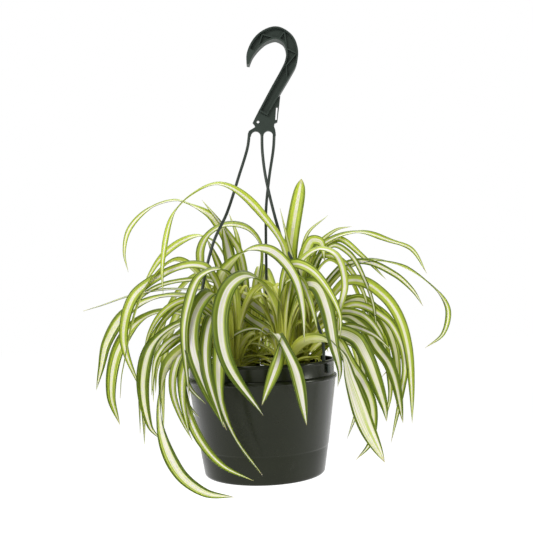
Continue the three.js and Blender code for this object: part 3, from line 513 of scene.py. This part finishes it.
# One leaf a row: its width, how blunt its tip is, its roll in degrees at even steps from root to tip,
# and the points that its midrib passes through. headings gives the two directions between which a
# crown's further leaves spread, and how many.
ROSETTES = [
    {"node": "rosette_left", "crown": (-30, -14), "headings": (100, 190, 6), "leaves": [
        (14, 5, (-60, -60, -55, -52, -53, -68, -100, -103, -104), (-39, -28, 185), (-55, -41, 228),
         (-75, -44, 233), (-105, -46, 223), (-135, -51, 200), (-146, -52, 155), (-130, -50, 102)),
        (14, 4, (0, -20, -50), (-27, -25, 195), (-37, -38, 226), (-61, -60, 220), (-73, -71, 192),
         (-78, -78, 160), (-74, -82, 95)),
        (19, 5, (0, -20, -30), (-38, -30, 178), (-50, -48, 202), (-66, -66, 183), (-70, -78, 150),
         (-60, -87, 116), (-36, -92, 63)),
        (15, 5, (0, -10), (-42, -35, 162), (-50, -56, 177), (-56, -78, 150), (-54, -92, 119),
         (-39, -96, 67)),
        (14, 4, (0, -10, -10, -12, -35, -76, -84, -82, -78), (-35, -40, 146), (-40, -70, 155),
         (-43, -94, 122), (-41, -98, 90), (-27, -97, 54), (-2, -90, 17)),
        (17, 6, (60, 65, 65, 60, 22, -5, -28, -40, -45), (-48, -40, 146), (-74, -61, 147),
         (-97, -68, 127), (-104, -76, 96), (-100, -92, 60), (-83, -105, 26), (-58, -113, 8),
         (-29, -119, 4)),
        (13, 4, (-20, -40, -5, -40, -45), (-52, -36, 157), (-74, -59, 145), (-82, -65, 117),
         (-78, -73, 85), (-64, -83, 53), (-42, -89, 28), (-11, -91, 12)),
        (17, 5, (-30, -30, -25, -15, -20, -60, -80, -80, -85), (-50, -22, 156), (-77, -30, 171),
         (-100, -38, 164), (-119, -46, 144), (-127, -50, 107), (-121, -50, 64), (-110, -48, 48)),
        (16, 6, (-60, -40, -20, -15, -18, -45, -90, -100, -100), (-40, -14, 167), (-73, -10, 196),
         (-113, -8, 200), (-152, -8, 183), (-173, -10, 153), (-181, -12, 121), (-186, -14, 99)),
        (15, 8, (-50, -40, -25, -13, -32, -75, -95, -97, -97), (-46, -10, 156), (-78, -4, 176),
         (-116, -2, 183), (-144, -4, 169), (-164, -8, 137), (-170, -12, 93), (-160, -16, 60)),
        (10, 4, (-20, -50), (-60, -40, 154), (-78, -58, 148), (-90, -68, 125), (-92, -72, 101),
         (-85, -74, 77), (-73, -73, 50)),
        (11, 4, (-20, -45), (-57, -46, 150), (-71, -66, 143), (-80, -76, 121), (-81, -80, 93),
         (-75, -80, 56)),
        (8, 4, (-60, -30), (-57, -24, 145), (-85, -35, 158), (-101, -48, 150), (-111, -56, 135),
         (-114, -60, 118), (-116, -62, 97)),
        (14, 5, (-45, -45, -45, -40, 25, 65, 72, 72, 72), (-43, -22, 214), (-24, -32, 240),
         (-5, -40, 249), (14, -48, 246), (30, -57, 231), (41, -65, 210), (46, -71, 181), (46, -75, 148)),
        (14, 5, (-60, -75), (-54, -24, 145), (-70, -34, 163), (-84, -40, 159), (-114, -46, 132)),
        (9, 4, (-50, -70), (-58, -28, 146), (-77, -40, 146), (-95, -50, 134), (-104, -54, 112),
         (-109, -54, 82)),
        (9, 4, (-60, -85), (-43, -10, 167), (-66, -20, 192), (-85, -28, 196), (-106, -34, 184),
         (-120, -38, 163), (-128, -40, 137)),
        (9, 4, (-60, -75), (-45, -8, 161), (-67, -14, 187), (-86, -22, 191), (-104, -28, 177),
         (-115, -32, 160), (-121, -34, 141)),
        (8, 4, (-20, -50), (-59, -46, 141), (-72, -62, 141), (-79, -70, 125), (-74, -74, 105),
         (-58, -76, 88)),
        (9, 4, (-20, -50), (-59, -48, 137), (-74, -64, 133), (-82, -70, 113), (-78, -72, 90),
         (-65, -72, 73)),
        (6, 4, (60, 80), (-35, -22, 148), (-22, -26, 159), (-4, -32, 162), (8, -36, 155)),
    ]},
    {"node": "rosette_front", "crown": (24, -16), "headings": (0, 0, 0), "leaves": [
        (20, 5, (0, -20, -35, -35), (20, -20, 170), (4, -30, 210), (-14, -45, 219), (-32, -64, 205),
         (-40, -82, 172), (-32, -97, 129), (1, -99, 78)),
        (11, 6, (-70, -90, -80, -68, -88, -38, -12, -80, -95), (27, -18, 193), (30, -22, 247),
         (3, -30, 291), (-22, -38, 314), (-44, -42, 321), (-71, -46, 309), (-89, -48, 291),
         (-98, -50, 267), (-104, -50, 231), (-104, -48, 202)),
        (12, 4, (30, 80, 80), (24, -22, 182), (31, -32, 226), (43, -44, 231), (60, -58, 221),
         (75, -68, 199), (84, -76, 174), (83, -78, 150)),
        (12, 4, (30, 60), (23, -24, 176), (30, -36, 210), (44, -48, 214), (54, -60, 191), (61, -66, 159)),
        (17, 5, (30, 60, 50), (36, -30, 176), (48, -44, 206), (62, -56, 206), (71, -69, 182),
         (76, -82, 144), (80, -90, 119), (77, -93, 103)),
        (20, 9, (-30, -30, -30, -30, -24, 11, 36, 50, 51), (43, -45, 143), (66, -66, 148),
         (83, -80, 134), (89, -92, 109), (96, -98, 85), (104, -103, 61), (119, -106, 29)),
        (15, 7, (-60, -70, -80, -20, -30, -10, 6, 12, 12), (20, -45, 143), (16, -66, 157),
         (25, -84, 143), (36, -96, 116), (44, -99, 67)),
        (16, 5, (-50, -60, -80, -78, -85, -58, -35, -22, -20), (25, -58, 139), (22, -76, 147),
         (17, -93, 130), (0, -99, 88)),
        (12, 5, (60, 55, 50, 53, 50, 42, 38, 74, 74), (31, -28, 181), (43, -38, 227), (66, -40, 246),
         (85, -50, 238), (92, -58, 207), (85, -62, 178), (82, -62, 152)),
        (15, 8, (60, 88, 80), (37, -8, 181), (50, -10, 231), (61, -14, 258), (72, -18, 256),
         (75, -22, 234)),
        (13, 4, (-60, -80), (18, -10, 165), (-6, -4, 187), (-31, -2, 205), (-53, -8, 207), (-70, -14, 189)),
        (12, 4, (-60, -78), (13, -6, 153), (-12, 2, 173), (-32, 6, 191), (-50, 6, 198), (-67, 4, 187)),
    ]},
    {"node": "rosette_right", "crown": (40, 26), "headings": (0, 105, 9), "leaves": [
        (17, 24, (30, 45), (41, 28, 192), (39, 31, 250), (56, 42, 340)),
        (10, 6, (70, 80, 90, 90, 85, 70, 55, 40, 20, 60, 45, 85, 90), (47, 24, 180), (56, 20, 237),
         (85, 14, 261), (120, 6, 268), (154, 0, 256), (177, -4, 245), (192, -7, 217)),
        (11, 6, (60, 70, 60, 40, 25, -18, 5, 85, 90), (61, 20, 174), (93, 12, 219), (125, 4, 234),
         (162, -6, 227), (194, -12, 204), (211, -16, 177), (205, -16, 149), (184, -14, 133)),
        (9, 7, (60, 70, 60, 50, 45, 50, 65, 80, 85), (61, 18, 180), (95, 8, 228), (124, 0, 233),
         (155, -10, 217), (173, -14, 199), (184, -16, 180)),
        (9, 5, (60, 90), (57, 24, 192), (73, 20, 243), (95, 15, 262), (120, 8, 242), (147, 2, 212)),
        (14, 7, (40, 60, 80, 72), (66, 0, 157), (96, -10, 172), (116, -20, 159), (128, -28, 137),
         (139, -33, 120), (146, -37, 96), (151, -40, 55)),
        (13, 5, (40, 40, 40, 70, 85, 82, 78, 78, 78), (70, 12, 170), (99, 3, 210), (120, -6, 210),
         (143, -15, 191), (156, -21, 167), (163, -25, 135), (165, -25, 94), (164, -24, 52)),
        (8, 4, (50, 70, 60, 45, 40), (52, 22, 180), (69, 14, 236), (88, 8, 254), (104, 2, 245),
         (114, -4, 229), (128, -12, 186), (131, -15, 138)),
        (7, 4, (40, 70), (48, 30, 204), (59, 40, 269), (87, 50, 295)),
        (9, 4, (60, 95), (53, 24, 204), (69, 22, 253), (92, 20, 273), (112, 20, 277)),
        (9, 5, (40, 78, 72), (69, 8, 157), (106, -4, 184), (141, -14, 168), (156, -20, 141),
         (159, -24, 115), (154, -27, 89), (139, -28, 32)),
        (17, 7, (40, 65, 58), (62, -8, 138), (85, -28, 154), (103, -44, 148), (112, -54, 131),
         (118, -60, 113), (128, -62, 77), (130, -61, 61)),
        (8, 4, (60, 90, 76), (54, 24, 192), (70, 16, 241), (93, 8, 239), (110, 2, 219), (122, -4, 189),
         (125, -6, 155)),
        (9, 4, (30, 50), (69, -8, 137), (93, -20, 143), (107, -32, 135), (111, -38, 111), (107, -42, 87),
         (99, -45, 65), (89, -48, 42)),
        (12, 4, (50, 88), (67, 20, 156), (103, 14, 190), (130, 8, 175), (142, 4, 137), (146, 2, 86),
         (139, 2, 52)),
        (10, 4, (60, 90), (67, -4, 132), (95, -18, 160), (123, -30, 152), (143, -36, 133)),
        (10, 4, (60, 80, 73), (64, 6, 163), (91, -8, 177), (112, -18, 174), (126, -26, 161),
         (136, -30, 139), (138, -32, 110)),
        (14, 4, (50, 86, 83), (76, 14, 168), (114, 6, 190), (137, -2, 171), (150, -8, 140),
         (153, -12, 101), (149, -14, 70)),
        (9, 4, (60, 88), (70, 24, 165), (106, 18, 190), (140, 12, 177), (159, 8, 151), (163, 6, 129),
         (136, 2, 100)),
        (13, 5, (30, 50, 50), (64, 4, 140), (84, -20, 146), (98, -40, 119), (109, -44, 101),
         (117, -45, 79), (118, -45, 55), (113, -45, 35), (98, -45, 19)),
        (6, 4, (40, 60), (41, 24, 200), (41, 22, 237), (35, 22, 266), (28, 22, 302)),
    ]},
    {"node": "rosette_back", "crown": (-14, 36), "headings": (35, 165, 13), "leaves": [
        (11, 5, (-60, -90, -110, -112, -110, -30, -22, -88, -89), (-30, 30, 207), (-35, 24, 260),
         (-52, 16, 292), (-77, 8, 307), (-95, 2, 312), (-123, -6, 302), (-145, -12, 279),
         (-151, -14, 253), (-147, -14, 230)),
        (10, 4, (-60, -112), (-16, 32, 194), (-21, 24, 249), (-41, 18, 283), (-64, 14, 314)),
        (14, 8, (-60, -80, -95, -100, -100, -95, -75, -110, -115), (-4, 30, 200), (3, 20, 255),
         (-11, 12, 277), (-36, 0, 281), (-57, -8, 268), (-65, -12, 247), (-60, -14, 196)),
        (6, 4, (-30, -30), (-29, 30, 177), (-56, 22, 203), (-88, 14, 209), (-117, 6, 209),
         (-150, 0, 203), (-179, -4, 194), (-201, -6, 188)),
        (12, 5, (-60, -90, -100, -60, -20, -20, -58, -82, -86), (-28, 30, 207), (-47, 22, 259),
         (-67, 16, 271), (-90, 8, 264), (-113, 2, 245), (-136, -4, 208)),
        (10, 4, (-40, -65), (-22, 34, 207), (-24, 38, 267), (-34, 42, 301)),
        (9, 4, (-50, -60, -55, -45, -45, -60, -70), (-26, 30, 183), (-52, 18, 217), (-80, 10, 220),
         (-114, 2, 214), (-136, -4, 200), (-154, -8, 171)),
        (18, 6, (-90, -122), (-24, 28, 183), (-33, 20, 240), (-41, 14, 284)),
        (13, 5, (-70, -112), (-32, 24, 189), (-48, 14, 240), (-59, 8, 268)),
    ]},
]
LEAF_STEPS = 32
MARK_STEPS = (20, 24, 28)              # where a leaf's edge is held against its solid
NEAR = 0.0004                          # metres between the two
# turns in degrees and lifts that a leaf may have in the solids, to stand clear of its neighbours
SHIFTS = [(0, 0), (3, 0), (-3, 0), (0, 4), (6, 0), (-6, 0), (3, 6), (-3, 6), (9, 0), (-9, 0), (0, 10),
          (12, 4), (-12, 4), (16, 8), (-16, 8), (22, 8), (-22, 8)]


def midrib_line(knots, steps):
    """Evenly spaced points along a smooth line through the knots."""
    last = len(knots) - 1
    gaps = [(knots[i + 1] - knots[i]).length for i in range(last)]
    slopes = [(knots[min(i + 1, last)] - knots[max(i - 1, 0)]) / sum(gaps[max(i - 1, 0):min(i + 1, last)])
              for i in range(last + 1)]
    line = []
    for step in range(steps + 1):
        along = step / steps * sum(gaps)
        k = 0
        while k < last - 1 and along > gaps[k]:
            along -= gaps[k]
            k += 1
        u = min(along / gaps[k], 1)
        line.append(knots[k] * (2 * u ** 3 - 3 * u ** 2 + 1) + slopes[k] * (u ** 3 - 2 * u ** 2 + u) * gaps[k]
                    + knots[k + 1] * (3 * u ** 2 - 2 * u ** 3) + slopes[k + 1] * (u ** 3 - u ** 2) * gaps[k])
    return line


def part_way(values, t):
    """The value at t in a list of values at even steps from 0 to 1."""
    k = min(int(t * (len(values) - 1)), len(values) - 2)
    return values[k] + (values[k + 1] - values[k]) * (t * (len(values) - 1) - k)


def leaf_frames(knots, rolls, steps):
    """At each step: the midrib's point, the direction across the blade and the way its face looks."""
    line = midrib_line(knots, steps)
    out = knots[min(3, len(knots) - 1)] - knots[0]
    across = Vector((-out.y, out.x, 0)).normalized()
    frames = []
    for step, point in enumerate(line):
        ahead = (line[min(step + 1, steps)] - line[max(step - 1, 0)]).normalized()
        across = (across - ahead * across.dot(ahead)).normalized()
        rolled = Matrix.Rotation(math.radians(part_way(rolls, step / steps)), 3, ahead) @ across
        frames.append((point, rolled, ahead.cross(rolled)))
    return frames


def leaf_half_width(width, bluntness, t):
    """Half the blade's width at t, from 0 at the root to 1 at the tip."""
    ease = min(t / 0.35, 1)
    return width / 2 * (0.3 + 0.7 * ease * ease * (3 - 2 * ease)) * (1 - t ** bluntness)


def leaf_knots(crown, points, order, shift):
    """The midrib's points, shifted, with one more in the crown to start from."""
    aside, up = shift
    turn = Matrix.Rotation(math.radians(aside), 3, "Z")
    middle = Vector((*crown, 0))
    knots = [turn @ (Vector(point) - middle) + middle + Vector((0, 0, up)) for point in points]
    root = (knots[0] - middle).to_2d().normalized() * 4
    return [Vector((middle.x + root.x, middle.y + root.y, SOIL_HEIGHT + 4 + (order % 4) * 1.5)), *knots]


DRAW_SPAN = 2147483648.0
draws = {"seed": 20.0}


def draw(low, high):
    """The solids' own seeded draw, so that the further leaves here are theirs."""
    draws["seed"] = math.fmod(draws["seed"] * 1103515245.0 + 12345.0, DRAW_SPAN)
    return low + (high - low) * draws["seed"] / DRAW_SPAN


def further_leaves(crown, headings):
    """Rows for the leaves that fan out behind a crown."""
    start, stop, count = headings
    rows = []
    for number in range(count):
        heading = start + (stop - start) * (number + draw(0.1, 0.9)) / count
        reach = draw(85, 150)
        rise = draw(60, 135)
        tip = draw(15, 110)
        sway = draw(-18, 18)
        points = []
        for out, up in ((0.22, 0.75 * rise), (0.48, rise), (0.78, 0.72 * rise), (0.97, 0.1 * rise),
                        (1, tip - SOIL_HEIGHT)):
            turn = math.radians(heading + sway * out)
            points.append((crown[0] + out * reach * math.cos(turn), crown[1] + out * reach * math.sin(turn),
                           SOIL_HEIGHT + up))
        rows.append((draw(9, 15), 4, (0, draw(-35, 35)), *points))
    return rows


def fold_height(half, t):
    """How far the blade's edge stands over its midrib."""
    return half * (0.45 - 0.3 * t)


def taken_shift(solid, crown, order, row):
    """The turn and lift that the leaf has in the solids, or None where they have no such leaf."""
    width, bluntness, rolls, *points = row
    for shift in SHIFTS:
        frames = leaf_frames(leaf_knots(crown, points, order, shift), rolls, LEAF_STEPS)
        marks = [placed(*frames[LEAF_STEPS][0])]
        for step in MARK_STEPS:
            point, across, face = frames[step]
            t = step / LEAF_STEPS
            half = leaf_half_width(width, bluntness, t)
            marks.append(placed(*(point + across * half + face * fold_height(half, t))))
        if all(solid.find_nearest(mark)[3] < NEAR for mark in marks):
            return shift
    return None


INNER_LEAVES = 26                      # to each rosette
LOW_LEAVES = 22
LOW_REACH = 68                         # from the pot's middle


def inner_leaves(crown, lie):
    """Rows for the young leaves that fill a rosette, with their tips inside the plant."""
    rows = []
    for number in range(INNER_LEAVES):
        heading = math.tau * (number + lie.random()) / INNER_LEAVES
        reach = lie.uniform(20, 70)
        rise = lie.uniform(16, 108)
        droop = lie.uniform(0.4, 0.9)
        roll = lie.uniform(-60, 60)
        if math.sin(heading) < -0.35:
            # to the front, none from a front crown, where the pot stands open, and short ones from a back one
            if crown[1] < 0:
                continue
            reach *= 0.6
        points = []
        for out, up in ((0.15, 0.55), (0.4, 0.9), (0.72, 1), (1, droop)):
            away = out * reach
            points.append((crown[0] + away * math.cos(heading), crown[1] + away * math.sin(heading),
                           SOIL_HEIGHT + up * rise))
        rows.append((lie.uniform(7, 12), 5, (0, roll), *points))
    # thin ones arch low over the soil, inside the pot's collar and not to the front
    for number in range(LOW_LEAVES):
        heading = math.tau * (number + lie.random()) / LOW_LEAVES
        if math.sin(heading) < -0.3:
            continue
        reach = lie.uniform(45, 85)
        rise = lie.uniform(14, 48)
        points = []
        for out, up in ((0.2, 0.75), (0.5, 1), (0.8, 0.8), (1, 0.5)):
            away = out * reach
            spot = Vector((crown[0] + away * math.cos(heading), crown[1] + away * math.sin(heading)))
            spot *= min(1, LOW_REACH / spot.length)
            points.append((*spot, SOIL_HEIGHT + up * rise))
        rows.append((lie.uniform(4, 7), 4, (0, lie.uniform(-40, 40)), *points))
    return rows


# a leaf's share of cream where it isn't drawn: node and place in its list
CREAM_SHARES = {("rosette_front", 5): 0.74, ("rosette_left", 5): 0.46}
BLADE_STEPS = 150
YOUNG_STEPS = 50
BLADE_ACROSS = 6
BLADE_THICKNESS = 0.5
TIP_HALF_WIDTH = 0.12
MARKS = ("leaf_number", "green", "stripe", "age", "youth")


def grow_leaf(shape, number, youth, crown, order, row, shift=(0, 0), stripe=None):
    """One blade: a grid laid along its midrib, folded, gently waved, and marked for its own colours.
    youth is 0 for a grown leaf and up to 1 for a young one, which is nearly all yellow-green."""
    width, bluntness, rolls, *points = row
    steps = YOUNG_STEPS if youth else BLADE_STEPS
    frames = leaf_frames(leaf_knots(crown, points, order, shift), rolls, steps)
    lie = random.Random(number)
    beat = lie.uniform(5, 9)
    sway = lie.uniform(0, 6)
    marks = {"leaf_number": number, "green": lie.random(), "stripe": stripe or lie.uniform(0.22, 0.42),
             "age": lie.random(), "youth": youth}

    def blade(u, v):
        step = round(v * steps)
        t = step / steps
        point, across, face = frames[step]
        half = max(leaf_half_width(width, bluntness, t), TIP_HALF_WIDTH)
        off = 1 - 2 * u
        fold = fold_height(half, t) * (abs(off) ** 1.25 - 0.06)
        wave = 0.07 * half * off * math.sin(beat * math.tau * t * 0.5 + sway) * min(3 * t, 1)
        return placed(*(point + across * half * off + face * (fold + wave)))

    made = grid_along(shape, BLADE_ACROSS, steps, blade)
    layers = {name: shape.verts.layers.float[name] for name in marks}
    where = shape.loops.layers.uv["along_leaf"]
    for vert, u, v in made:
        for name, value in marks.items():
            vert[layers[name]] = value
        for loop in vert.link_loops:
            loop[where].uv = (u, v)


# the blade's pattern, laid on its UV map: u runs across the blade and v from its root to its tip
pattern = bpy.data.node_groups.new("leaf stripes", "ShaderNodeTree")
for name in ("Stripe colour", "Bright green", "Dark green"):
    pattern.interface.new_socket(name, in_out="INPUT", socket_type="NodeSocketColor")
pattern.interface.new_socket("Colour", in_out="OUTPUT", socket_type="NodeSocketColor")
pattern.interface.new_socket("Ribs", in_out="OUTPUT", socket_type="NodeSocketFloat")
taken = pattern.nodes.new("NodeGroupInput")
given = pattern.nodes.new("NodeGroupOutput")
laid = add_node(pattern, "UVMap", uv_map="along_leaf").outputs[0]
cross, length = add_node(pattern, "SeparateXYZ", {0: laid}).outputs[:2]
number, green, stripe, age, youth = [add_node(pattern, "Attribute", attribute_name=name).outputs["Fac"]
                                     for name in MARKS]
off = reckoned(pattern, "ABSOLUTE", reckoned(pattern, "SUBTRACT", cross, 0.5))
off = reckoned(pattern, "MULTIPLY", off, 2.0)
drift = reckoned(pattern, "MULTIPLY", number, 7.3)


def lengthwise(across, along, detail):
    """Noise drawn out along the blade, different on each leaf."""
    u = reckoned(pattern, "MULTIPLY", cross, across)
    v = reckoned(pattern, "MULTIPLY", length, along)
    place = add_node(pattern, "CombineXYZ", {0: u, 1: v, 2: drift}).outputs[0]
    return noise_at(pattern, place, Scale=1.0, Detail=detail)


veins = lengthwise(26, 1.6, 2)
threads = lengthwise(8.5, 0.9, 1)
waver = lengthwise(1.5, 3, 1)
# where the cream stripe gives way to the green margin, counted from 0 at the midrib to 1 at the edge
edge = reckoned(pattern, "MULTIPLY_ADD", waver, 0.22, stripe)
edge = reckoned(pattern, "MULTIPLY_ADD", threads, 0.3, edge)
edge = reckoned(pattern, "SUBTRACT", edge, 0.26)
inner = reckoned(pattern, "SUBTRACT", edge, 0.05)
outer = reckoned(pattern, "ADD", edge, 0.05)
margin = spread_over(pattern, off, inner, outer, interpolation_type="SMOOTHSTEP")
# greens: darker or brighter by leaf, with painted light that makes them lighter high up, streaked along the
# veins, and deepening to the edge
height = add_node(pattern, "SeparateXYZ", {0: add_node(pattern, "TexCoord").outputs["Object"]}).outputs[2]
# painted light: the greens are made lighter the higher the blade stands over the pot's underside
painted_light_high_up = spread_over(pattern, height, underside.z + 0.09, underside.z + 0.27, -0.25, 0.35)
depth = reckoned(pattern, "MULTIPLY_ADD", threads, 2.2, -0.25)
depth = reckoned(pattern, "MULTIPLY_ADD", off, -1.1, depth)
depth = reckoned(pattern, "MULTIPLY_ADD", green, 0.6, depth)
depth = reckoned(pattern, "ADD", depth, painted_light_high_up, use_clamp=True)
greens = mixed(pattern, depth, taken.outputs["Dark green"], taken.outputs["Bright green"])
# fine pale lines run through the green, and fine green ones through the cream stripe
greens = mixed(pattern, spread_over(pattern, threads, 0.6, 0.68, 0, 0.6), greens, (0.42, 0.47, 0.14, 1))
thread = reckoned(pattern, "MULTIPLY", spread_over(pattern, veins, 0.51, 0.57), stripe)
cream = mixed(pattern, thread, taken.outputs["Stripe colour"], (0.30, 0.38, 0.03, 1))
colour = mixed(pattern, margin, cream, greens)
# a yellow-green band where the two meet
between = reckoned(pattern, "ABSOLUTE", reckoned(pattern, "SUBTRACT", margin, 0.5))
colour = mixed(pattern, spread_over(pattern, between, 0.5, 0.1, 0, 0.6), colour, (0.40, 0.46, 0.08, 1))
# a thin dark edge
colour = mixed(pattern, spread_over(pattern, off, 0.7, 0.95, 0, 0.72), colour, (0.030, 0.048, 0.004, 1))
# young leaves, and the lower part of every leaf, are yellow-green with little stripe
root = spread_over(pattern, length, 0.42, 0.1, 0, 0.8, interpolation_type="SMOOTHSTEP")
root = reckoned(pattern, "MULTIPLY_ADD", youth, 0.72, root, use_clamp=True)
lime = mixed(pattern, veins, (0.38, 0.43, 0.02, 1), (0.88, 0.88, 0.20, 1))
colour = mixed(pattern, root, colour, lime)
# the tip dries to a pale grey-brown
dry = reckoned(pattern, "MULTIPLY_ADD", age, -0.04, 0.99)
colour = mixed(pattern, spread_over(pattern, length, dry, 1.0, 0, 0.8), colour, (0.32, 0.27, 0.17, 1))
pattern.links.new(colour, given.inputs["Colour"])
pattern.links.new(reckoned(pattern, "MULTIPLY_ADD", threads, 0.6, veins), given.inputs["Ribs"])


def leaf_skin(name, stripe_colour, bright, dark, roughness):
    material = bpy.data.materials.new(name)
    material.use_nodes = True
    tree = material.node_tree
    shader = tree.nodes["Principled BSDF"]
    blade = add_node(tree, "Group", node_tree=pattern)
    blade.inputs["Stripe colour"].default_value = stripe_colour
    blade.inputs["Bright green"].default_value = bright
    blade.inputs["Dark green"].default_value = dark
    tree.links.new(blade.outputs["Colour"], shader.inputs["Base Color"])
    bump = add_node(tree, "Bump", {"Strength": 0.35, "Distance": 0.0003, "Height": blade.outputs["Ribs"]})
    tree.links.new(bump.outputs[0], shader.inputs["Normal"])
    shader.inputs["Roughness"].default_value = roughness
    shader.inputs["Specular IOR Level"].default_value = 0.18
    shader.inputs["Subsurface Weight"].default_value = 0.5
    shader.inputs["Subsurface Radius"].default_value = (0.9, 1.0, 0.3)
    shader.inputs["Subsurface Scale"].default_value = 0.003
    return material


leaf_face = leaf_skin("leaf face", (0.60, 0.57, 0.52, 1), (0.34, 0.405, 0.05, 1), (0.055, 0.088, 0.004, 1),
                      0.46)
leaf_back = leaf_skin("leaf back", (0.58, 0.57, 0.42, 1), (0.39, 0.445, 0.09, 1), (0.09, 0.13, 0.012, 1),
                      0.52)
grown = 0
young = 400                            # young leaves are numbered on from here
for rosette in ROSETTES:
    node, crown = rosette["node"], rosette["crown"]
    solid = BVHTree.FromObject(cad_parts[node], bpy.context.evaluated_depsgraph_get())
    shape = bmesh.new()
    shape.loops.layers.uv.new("along_leaf")
    for name in MARKS:
        shape.verts.layers.float.new(name)
    for order, row in enumerate([*rosette["leaves"], *further_leaves(crown, rosette["headings"])]):
        shift = taken_shift(solid, crown, order, row)
        if shift is not None:
            grown += 1
            grow_leaf(shape, grown, 0, crown, order, row, shift, CREAM_SHARES.get((node, order)))
    lie = random.Random(node)
    for order, row in enumerate(inner_leaves(crown, lie)):
        young += 1
        grow_leaf(shape, young, lie.uniform(0.6, 1), crown, order, row)
    # the crown: a short stub that the blades' sheathing bases clasp
    stub_place = Matrix.Translation(placed(*crown, SOIL_HEIGHT + (CROWN_RISE - 8) / 2))
    bmesh.ops.create_cone(shape, segments=24, radius1=CROWN_RADIUS / 1000, radius2=CROWN_RADIUS * 0.6 / 1000,
                          depth=(CROWN_RISE + 6) / 1000, cap_ends=True, matrix=stub_place)
    bmesh.ops.remove_doubles(shape, verts=shape.verts, dist=1e-6)
    leaves = finish_piece("leaves_" + node.split("_")[1], shape, [leaf_face, leaf_back], node,
                          crease=80)
    thick = leaves.modifiers.new("blade thickness", "SOLIDIFY")
    thick.thickness = BLADE_THICKNESS / 1000
    thick.offset = 0
    thick.material_offset = 1
